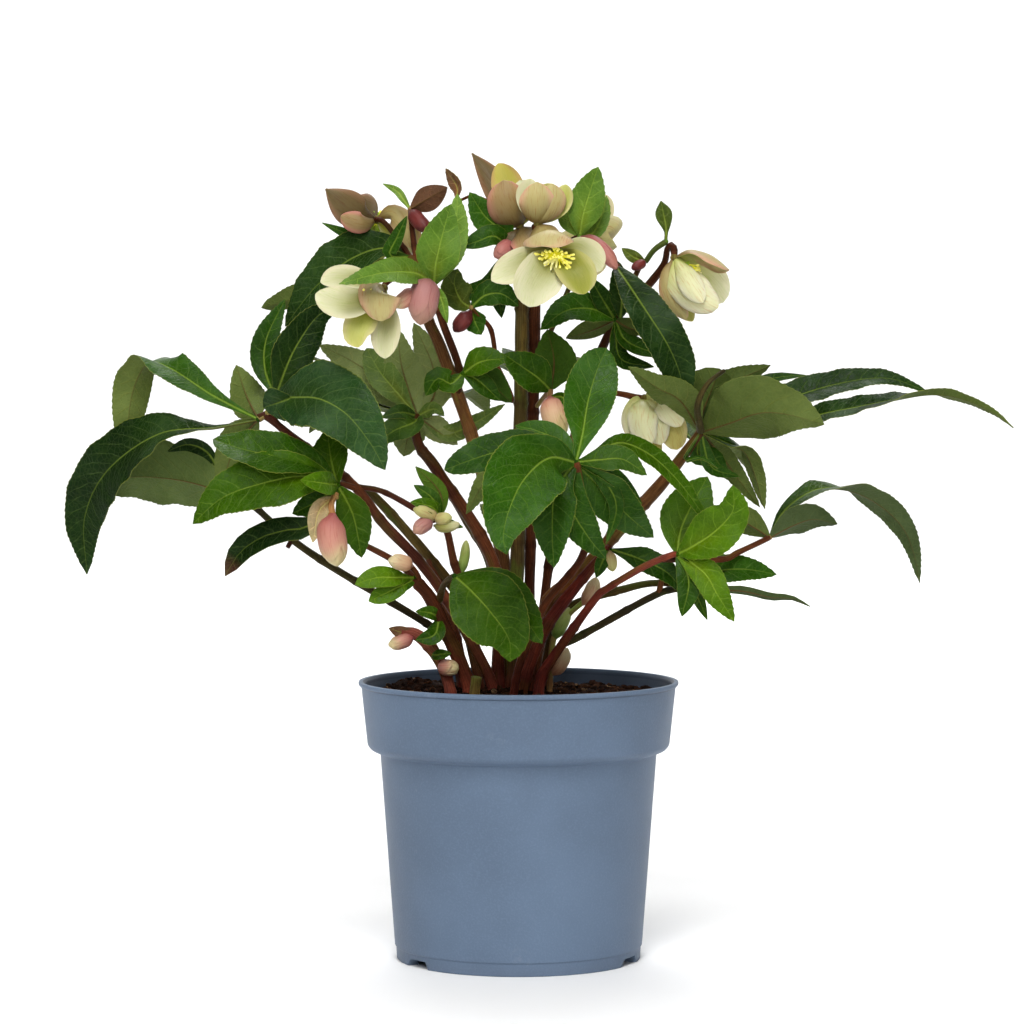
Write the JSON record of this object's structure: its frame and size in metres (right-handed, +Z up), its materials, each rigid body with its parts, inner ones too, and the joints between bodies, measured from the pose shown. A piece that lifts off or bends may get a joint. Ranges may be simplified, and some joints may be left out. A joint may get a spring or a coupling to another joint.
{
  "type": "hellebore plant",
  "caption": "Flowering hellebore in a round plastic nursery pot: arching divided leaves, nodding cream and pink blooms, plump buds and red-brown stems rising from dark peat.",
  "frame": {"origin": "centre of the pot's foot ring, on the ground", "axes": "+Z up along the pot's axis, -Y towards the side the plant is seen from, +X to the viewer's right"},
  "size_m": [0.5457, 0.3248, 0.4786],
  "materials": {
    "stem_dark": "dark purple-red stem, satin",
    "stem_olive": "olive stem, satin",
    "stem_red": "red-brown stem, satin",
    "stem_pink": "pinkish red young stem, satin",
    "soil_peat": "dark brown peat and bark crumbs",
    "bud_pink": "pink bud fading to cream",
    "leaf_young": "bright green young leaf with pale veins",
    "sepal_cream": "cream sepal, yellow-green at its base and pink outside",
    "stamen_yellow": "yellow stamens",
    "leaf_dark": "dark green leathery leaf with pale veins",
    "leaf_under": "dull olive leaf seen mostly from its underside",
    "bract_green": "fresh green bract",
    "bract_purple": "brown-purple bract",
    "pot_plastic": "satin blue-grey moulded polypropylene"
  },
  "bodies": {
    "root": {"stem_left_long": "stem_dark", "stem_left_olive": "stem_olive", "stem_left_short": "stem_red", "stem_left_low": "stem_dark", "stem_middle": "stem_red", "stem_flower_left": "stem_red", "stem_flower_centre": "stem_red", "stem_flower_right": "stem_red", "stem_right_brown": "stem_olive", "stem_right_short": "stem_pink", "stem_right_red": "stem_pink", "stem_front": "stem_red", "stems_back": "stem_olive", "shoot_left": "stem_pink", "soil": "soil_peat", "buds_left_top": "bud_pink", "bud_centre": "leaf_young", "bud_left_large": "bud_pink", "buds_cluster": "leaf_young", "buds_low_right": "bud_pink", "bloom_front": "sepal_cream", "bloom_left": "sepal_cream", "bloom_left_back": "sepal_cream", "bloom_top_left": "sepal_cream", "bloom_top_right": "sepal_cream", "bloom_right": "sepal_cream", "bloom_right_low": "sepal_cream", "bloom_back": "sepal_cream", "stamens_front": "stamen_yellow", "stamens_left": "stamen_yellow", "stamens_right": "stamen_yellow", "leaf_far_left": "leaf_dark", "leaf_left_front": "leaf_young", "leaf_left_low": "leaf_under", "leaf_left_upright": "leaf_dark", "leaf_left_high": "leaf_dark", "leaf_middle": "leaf_under", "leaf_small_left": "leaf_young", "leaf_front": "leaf_dark", "leaf_front_low": "leaf_dark", "leaf_flower_side": "leaf_dark", "leaf_strap": "leaf_dark", "leaf_right": "leaf_dark", "leaf_right_front": "leaf_young", "leaf_right_arch": "leaf_under", "leaf_right_small": "leaf_dark", "leaf_right_thin": "leaf_dark", "leaf_low_left": "leaf_young", "leaf_back_left": "leaf_under", "leaf_back_centre": "leaf_under", "leaf_back_low": "leaf_under", "leaf_back_right": "leaf_under", "bracts_left": "bract_green", "bracts_purple": "bract_purple", "bracts_top": "leaf_dark", "bracts_right": "bract_green", "bracts_far_right": "bract_green", "bracts_middle": "bract_purple", "pot": "pot_plastic"}
  },
  "joints": []
}
